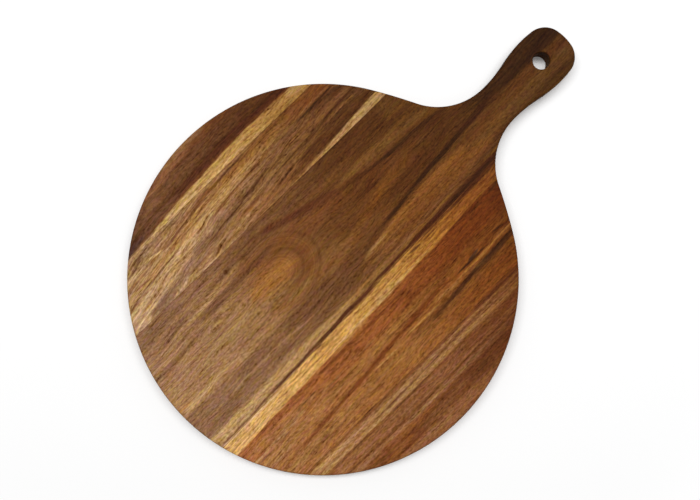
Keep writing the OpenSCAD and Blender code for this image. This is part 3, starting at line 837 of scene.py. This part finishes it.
RIGHT = dict(
    bands=[
        (-110, "ginger"), (-90, "ginger"), (-84, "amber"), (-78, "ginger"), (-71, "ginger"),
        (-66, "amber"), (-60, "brick"), (-45.8, "brick"), (-44.8, "gold"), (-30, "gold"),
    ],
    streaks=[
        (-152, -38.8, -56, -36.8, 1.6, "cream", 0.65), (-144, -42.7, -86, -40.8, 1, "amber", 0.7),
        (-140, -46.5, -70, -45.2, 1.4, "straw", 0.5), (-66, -38.6, 4, -36.8, 1, "amber", 0.6),
        (-76, -42.4, -16, -41.4, 1.2, "amber", 0.7), (-6, -38.2, 66, -35.8, 1, "amber", 0.7),
        (44, -39.4, 104, -38, 1.8, "amber", 0.8), (-46, -44.8, 46, -42.8, 1.8, "cream", 0.7),
        (26, -42.8, 82, -40.8, 1.6, "cream", 0.6), (-48, -34.8, -33, -35.3, 1.2, "umber", 0.95),
        (-70, -34, -58, -34.4, 1, "chestnut", 0.8), (-14, -33.8, 16, -34.2, 1, "amber", 0.8),
        (59, -32.4, 76, -33.5, 1.8, "umber", 0.95), (72, -33, 101, -33.3, 1.2, "russet", 0.95),
        (100, -36.2, 156, -33.6, 1.2, "russet", 0.7), (70, -31, 170, -28, 4, "amber", 0.5, 1.2),
        (78, -37, 172, -35, 9, "brick", 0.5, 2), (84, -42.4, 152, -40.6, 2.6, "oxblood", 0.9, 0.8),
        (62, -31.8, 116, -30, 1.4, "plum", 0.75, 0.6), (-16, -34, 36, -32.6, 1.6, "umber", 0.75, 0.8),
        (-136, -51.4, -44, -49.6, 2.8, "oxblood", 0.45, 0.9),
        (-64, -50.6, 8, -50.2, 3.2, "oxblood", 0.6, 0.9), (-14, -50.4, 26, -50.2, 2.4, "oxblood", 0.8),
        (16, -50.6, 48, -49.6, 1.5, "oxblood", 0.75),
        (-145, -63.9, -120, -64.2, 1.3, "cream", 0.6, 0.9),
        (-140, -66.2, -118, -66.6, 1.2, "umber", 0.75), (-124, -63.4, -90, -63, 1.2, "tan", 0.7),
        (-116, -65.4, -96, -65.8, 1.2, "umber", 0.65), (-90, -58.7, -62, -56.9, 1.4, "russet", 0.75),
        (-66, -62, -36, -61, 1.2, "tan", 0.5), (-70, -63.4, -44, -64.1, 1.2, "russet", 0.75),
        (-34, -61, 10, -60, 1.2, "tan", 0.4), (-124, -71.4, -40, -68.6, 3, "amber", 0.5, 1.2),
        (-130, -82, -80, -79.6, 2.8, "oxblood", 0.55, 1.2),
        (-106, -80.8, -44, -77, 3.6, "oxblood", 0.75, 1), (-66, -78.6, 0, -73, 3.6, "oxblood", 0.85, 1),
        (-28, -74.6, 14, -71.8, 3.6, "oxblood", 0.85, 1),
        (-4, -72.4, 66, -68.4, 4.4, "oxblood", 0.85, 1.2), (-24, -78.3, 12, -77.9, 1.6, "gold", 0.7),
        (-4, -76.6, 40, -75.9, 1.8, "amber", 0.75), (16, -75.9, 54, -77.1, 1.4, "gold", 0.75),
        (40, -73.3, 80, -75.6, 2, "amber", 0.75), (60, -74.7, 144, -71.8, 2, "gold", 0.5),
        (-10, -57, 170, -55, 20, "oxblood", 0.34, 6), (72, -70.7, 113, -70.4, 1.7, "ebony", 0.95),
        (88, -69.6, 104, -67.9, 2.2, "slate", 0.9), (58, -67, 70, -71, 1.6, "oxblood", 0.8),
        (102, -65, 138, -66, 1.2, "amber", 0.5), (117, -66.9, 132, -68.8, 1.5, "ebony", 0.95),
        (4, -81, 76, -82.6, 8, "russet", 0.6, 2.5), (34, -82.1, 66, -80.5, 3.6, "cocoa", 0.9, 0.8),
        (50, -81.2, 90, -78.8, 4, "cocoa", 0.95, 0.8), (64, -80, 154, -76, 4.8, "cocoa", 0.97, 0.8),
        (80, -78.8, 140, -76.4, 2.2, "ebony", 0.8, 0.8), (101, -41.3, 119, -43.1, 1.7, "cocoa", 0.97),
        (112, -43.1, 132, -44.5, 1.6, "cocoa", 0.97), (136, -43.2, 160, -41, 2.4, "cocoa", 0.9),
        (56, -45.6, 84, -44.4, 1.1, "russet", 0.75), (-24, -90.6, 40, -89, 6, "amber", 0.4, 2),
        (-112, -89, -24, -87, 7, "russet", 0.3, 2.4), (-90, -98, -14, -98.3, 1.8, "umber", 0.7, 0.8),
        (-10, -97, 60, -96.8, 2, "amber", 0.4, 1), (60, -98.6, 120, -99.4, 2.2, "ember", 0.7, 0.9),
        (88, -31.2, 210, -28, 3.6, "plum", 0.95, 1), (-134, -64.8, -74, -61, 4.5, "straw", 0.3, 1.5),
        (8, -42, 48, -41.4, 6, "cream", 0.5, 1.8), (-38, -47.6, 10, -45.6, 3.2, "gold", 0.45, 1.2),
        (24, -53.4, 82, -49.2, 2.8, "brick", 0.4, 1.2), (-54, -86, -14, -84.4, 3, "chestnut", 0.4, 1.2),
        (-10, -81.2, 22, -79.2, 4, "brick", 0.4, 1.6), (-150, -58, -44, -60.4, 9, "hay", 0.2, 3),
        (-50, -54.4, -14, -60, 3.6, "ginger", 0.5, 1.4),
        (-142, -43.4, -104, -43.6, 3.6, "amber", 0.3, 1.3),
        (76, -41.8, 134, -43.8, 2.4, "oxblood", 0.6, 1), (-20, -72.6, 16, -71, 2.6, "oxblood", 0.4, 1),
        (32, -79, 56, -78.8, 4.6, "russet", 0.35, 1.6),
        (-100, -46.2, -76, -45.8, 4.4, "ginger", 0.3, 1.5),
        (-134, -74.8, -100, -73.6, 3, "straw", 0.35, 1.2), (48, -74, 80, -75.4, 3.2, "straw", 0.3, 1.2),
        (76, -73.4, 104, -79, 4.3, "straw", 0.2, 1.4), (110, -71, 138, -73.2, 4, "straw", 0.2, 1.4),
        (-4, -33.8, 28, -33.2, 2.7, "chestnut", 0.35, 1),
        (-50, -68.8, 136, -62.2, 6, "oxblood", 0.1, 2.5), (50, -81.6, 126, -78.4, 10, "slate", 0.2, 3),
    ],
    along=[
        (-140, (1.06, 1.1, 1.2)), (-40, (1.08, 1.08, 1.04)), (30, (1, 1.03, 1.02)),
        (80, (0.88, 0.83, 0.7)), (120, (0.68, 0.59, 0.43)), (150, (0.46, 0.38, 0.28)),
    ],
    lean=0.032, curve=0.0, tilt=-0.3, seed=47.0, strand=1.0, stray=0.7,
)

RIGHT_EDGE = dict(
    bands=[
        (-160, "clay"), (-141, "clay"), (-138.4, "russet"), (-129, "russet"), (-127, "clay"),
        (-125, "walnut"), (-123.4, "clay"), (-121.6, "chestnut"), (-120, "clay"), (-112.6, "clay"),
        (-111, "chestnut"), (-110, "chestnut"), (-109, "tan"), (-107, "tan"), (-106, "clay"),
        (-104.8, "tan"), (-103.2, "clay"), (-101.8, "tan"), (-100.2, "clay"), (-99, "chestnut"),
        (-96, "chestnut"),
    ],
    streaks=[
        (-116, -101.5, -50, -102.5, 2.4, "straw", 0.7, 0.9),
        (-112, -105, -60, -107, 3, "straw", 0.25, 1), (-50, -106, 60, -106.8, 1.6, "straw", 0.5),
        (-64, -107.4, 14, -107.2, 1.8, "straw", 0.5, 0.6),
        (0, -107.3, 94, -108.4, 2.2, "straw", 0.6, 0.6),
        (-60, -102.8, 20, -103, 1.7, "straw", 0.5, 0.6),
        (0, -102.6, 100, -102.9, 1.7, "straw", 0.55, 0.6),
        (0, -105, 74, -105.2, 1.3, "umber", 0.75, 0.5),
        (-56, -104.9, 16, -105, 1.3, "umber", 0.75, 0.5),
        (60, -99.6, 120, -100.4, 2.2, "plum", 0.75, 0.9), (-70, -99, 10, -98.8, 1.2, "umber", 0.15),
        (-108, -110.2, -56, -109.8, 1.3, "umber", 0.7),
        (-46, -110.2, 14, -110.4, 1.8, "umber", 0.8, 0.6), (22, -111, 76, -112, 1.6, "umber", 0.6),
        (-98, -120.2, -62, -120.8, 1.7, "russet", 0.85), (-66, -121, -26, -121.2, 1.5, "russet", 0.8),
        (-34, -121.2, 40, -122.2, 1.4, "umber", 0.75), (20, -122.2, 96, -122.9, 1.5, "cocoa", 0.55),
        (-66, -124.4, 14, -125.6, 2.6, "tan", 0.85, 0.8), (-20, -125.4, 50, -126.2, 1.8, "tan", 0.6),
        (-80, -137, -30, -134, 5, "brick", 0.5, 2), (-6, -134, 90, -131, 10, "ember", 0.45, 4),
        (-60, -138.6, -20, -138.4, 1.2, "oxblood", 0.6), (-20, -137, 30, -136.6, 1.2, "oxblood", 0.5),
        (20, -144, 76, -136, 8, "russet", 0.4, 2.5), (40, -127.4, 112, -125, 5, "ember", 0.5, 1.5),
        (10, -144, 50, -141, 2, "chestnut", 0.5, 1), (22, -115.6, 108, -114, 7.5, "russet", 0.6, 2.4),
        (-32, -136, 34, -134.2, 7.5, "clay", 0.45, 2.2),
        (-36, -142.4, 2, -144.2, 4.2, "straw", 0.25, 1.5),
        (-115, -99, -74, -100.6, 3.4, "gold", 0.4, 1.3), (-84, -126, 6, -129.4, 7, "brick", 0.45, 2.5),
        (44, -110.4, 102, -110, 4.5, "tan", 0.3, 1.5), (22, -139.4, 66, -135.6, 9, "slate", 0.12, 3),
        (-100, -112.6, -62, -113, 2.4, "chestnut", 0.4, 0.8),
        (-70, -127.6, -30, -128, 2.4, "russet", 0.4, 0.9),
    ],
    along=[
        (-100, (1.08, 1.03, 0.82)), (-30, (1.03, 1, 0.9)), (20, (1.04, 1.03, 1.08)),
        (60, (0.97, 0.97, 1.06)), (105, (0.7, 0.63, 0.58)),
    ],
    lean=-0.0122, curve=0.0, tilt=0.25, seed=59.0, strand=0.8, stray=0.4,
)

staves = [
    ("left_edge", LEFT_EDGE, None, "outer_left"),
    ("left", LEFT, "outer_left", "inner_left"),
    ("handle", HANDLE, "inner_left", "inner_right"),
    ("right", RIGHT, "inner_right", "outer_right"),
    ("right_edge", RIGHT_EDGE, "outer_right", None),
]
blank = drilled_board()
half_glue = GLUE_T / 2
for side, figure, left, right in staves:
    piece(
        blank, f"{side}_stave_wood", f"{side}_stave",
        left and (left, half_glue), right and (right, -half_glue),
        wood(f"{side}_wood", **figure),
    )
glue_line = glue("glue")
for joint in JOINTS:
    piece(
        blank, f"{joint}_glue_line", f"{joint}_glue",
        (joint, -half_glue), (joint, half_glue), glue_line,
    )
blank.free()

# Floor, light and camera. In the picture the handle points up and to the right.
PICTURE_TURN = math.radians(44.95)
picture_up = Vector((-math.sin(PICTURE_TURN), math.cos(PICTURE_TURN), 0))
AIM = Vector((-1.38, 31.2, BOARD_T)) * MM
# Distances in metres, lens and sensor in millimetres, the lamp's power in watts
CAMERA_HEIGHT = 0.570
LENS, SENSOR = 37.79, 36.0
# The lamp stands off from AIM, towards the picture's top and upwards
KEY_UP, KEY_HEIGHT = 0.65, 2.2
KEY_WIDTH, KEY_DEPTH = 3.1, 0.65
KEY_POWER = 51.7
# The sky's brightness as a light. The camera sees it white.
SKY = 0.257
FLOOR_HALF = 6.0
FLOOR_DROP = 0.2 * MM
FLOOR_PALE = 0.92
# The camera sees the floor lifted towards white: by the least amount up to the near distance from
# the disc's centre, and by the rise on top of that from the far distance on
LIFT_NEAR, LIFT_FAR = 0.28, 0.9
LIFT_LEAST, LIFT_RISE = 0.12, 0.75


def white_for_camera(tree, plain, white):
    """Mixes a second shader in for rays from the camera and from glossy or clear surfaces."""
    path = tree.nodes.new("ShaderNodeLightPath")
    seen = Field(tree, path.outputs["Is Camera Ray"])
    for kind in ("Is Glossy Ray", "Is Transmission Ray"):
        seen = seen.math("MAXIMUM", Field(tree, path.outputs[kind]))
    mix = tree.nodes.new("ShaderNodeMixShader")
    plug(tree, mix.inputs["Fac"], seen)
    tree.links.new(plain, mix.inputs[1])
    tree.links.new(white, mix.inputs[2])
    return mix.outputs[0]


def floor_material():
    """Pale matt floor that keeps the board's shadow and that the camera sees lifted to white."""
    material, tree = empty_material("floor")
    matt = tree.nodes.new("ShaderNodeBsdfDiffuse")
    matt.inputs["Color"].default_value = (FLOOR_PALE, FLOOR_PALE, FLOOR_PALE, 1)
    place = tree.nodes.new("ShaderNodeTexCoord")
    away = tree.nodes.new("ShaderNodeVectorMath")
    away.operation = "LENGTH"
    tree.links.new(place.outputs["Object"], away.inputs[0])
    far = Field(tree, away.outputs["Value"]).step(LIFT_NEAR, LIFT_FAR)
    lift = tree.nodes.new("ShaderNodeEmission")
    plug(tree, lift.inputs["Strength"], far.scaled(LIFT_RISE, LIFT_LEAST))
    both = tree.nodes.new("ShaderNodeAddShader")
    tree.links.new(matt.outputs[0], both.inputs[0])
    tree.links.new(lift.outputs[0], both.inputs[1])
    output = tree.nodes.new("ShaderNodeOutputMaterial")
    seen = white_for_camera(tree, matt.outputs[0], both.outputs[0])
    tree.links.new(seen, output.inputs["Surface"])
    return material


bm = bmesh.new()
bmesh.ops.create_grid(bm, x_segments=1, y_segments=1, size=FLOOR_HALF)
floor = as_object(bm, "floor")
floor.location.z = -FLOOR_DROP
floor.data.materials.append(floor_material())

world = bpy.data.worlds.new("studio")
bpy.context.scene.world = world
world.use_nodes = True
world.node_tree.nodes.clear()
dim = world.node_tree.nodes.new("ShaderNodeBackground")
dim.inputs["Strength"].default_value = SKY
white = world.node_tree.nodes.new("ShaderNodeBackground")
white.inputs["Strength"].default_value = 1.0
for part in (dim, white):
    part.inputs["Color"].default_value = (1, 1, 1, 1)
world_output = world.node_tree.nodes.new("ShaderNodeOutputWorld")
sky = white_for_camera(world.node_tree, dim.outputs[0], white.outputs[0])
world.node_tree.links.new(sky, world_output.inputs["Surface"])


def softbox(name, place, width, depth, power):
    """A rectangular lamp that faces the middle of the picture."""
    lamp = bpy.data.lights.new(name, "AREA")
    lamp.shape, lamp.size, lamp.size_y, lamp.energy = "RECTANGLE", width, depth, power
    made = bpy.data.objects.new(name, lamp)
    made.location = place
    made.rotation_euler = (AIM - place).to_track_quat("-Z", "Y").to_euler()
    bpy.context.scene.collection.objects.link(made)


key_place = AIM + picture_up * KEY_UP + Vector((0, 0, KEY_HEIGHT))
softbox("key", key_place, KEY_WIDTH, KEY_DEPTH, KEY_POWER)

camera = bpy.data.cameras.new("camera")
camera.lens, camera.sensor_width = LENS, SENSOR
view = bpy.data.objects.new("camera", camera)
view.location = AIM + Vector((0, 0, CAMERA_HEIGHT))
view.rotation_euler = (0, 0, PICTURE_TURN)
bpy.context.scene.collection.objects.link(view)
bpy.context.scene.camera = view
bpy.context.scene.view_settings.view_transform = "Standard"
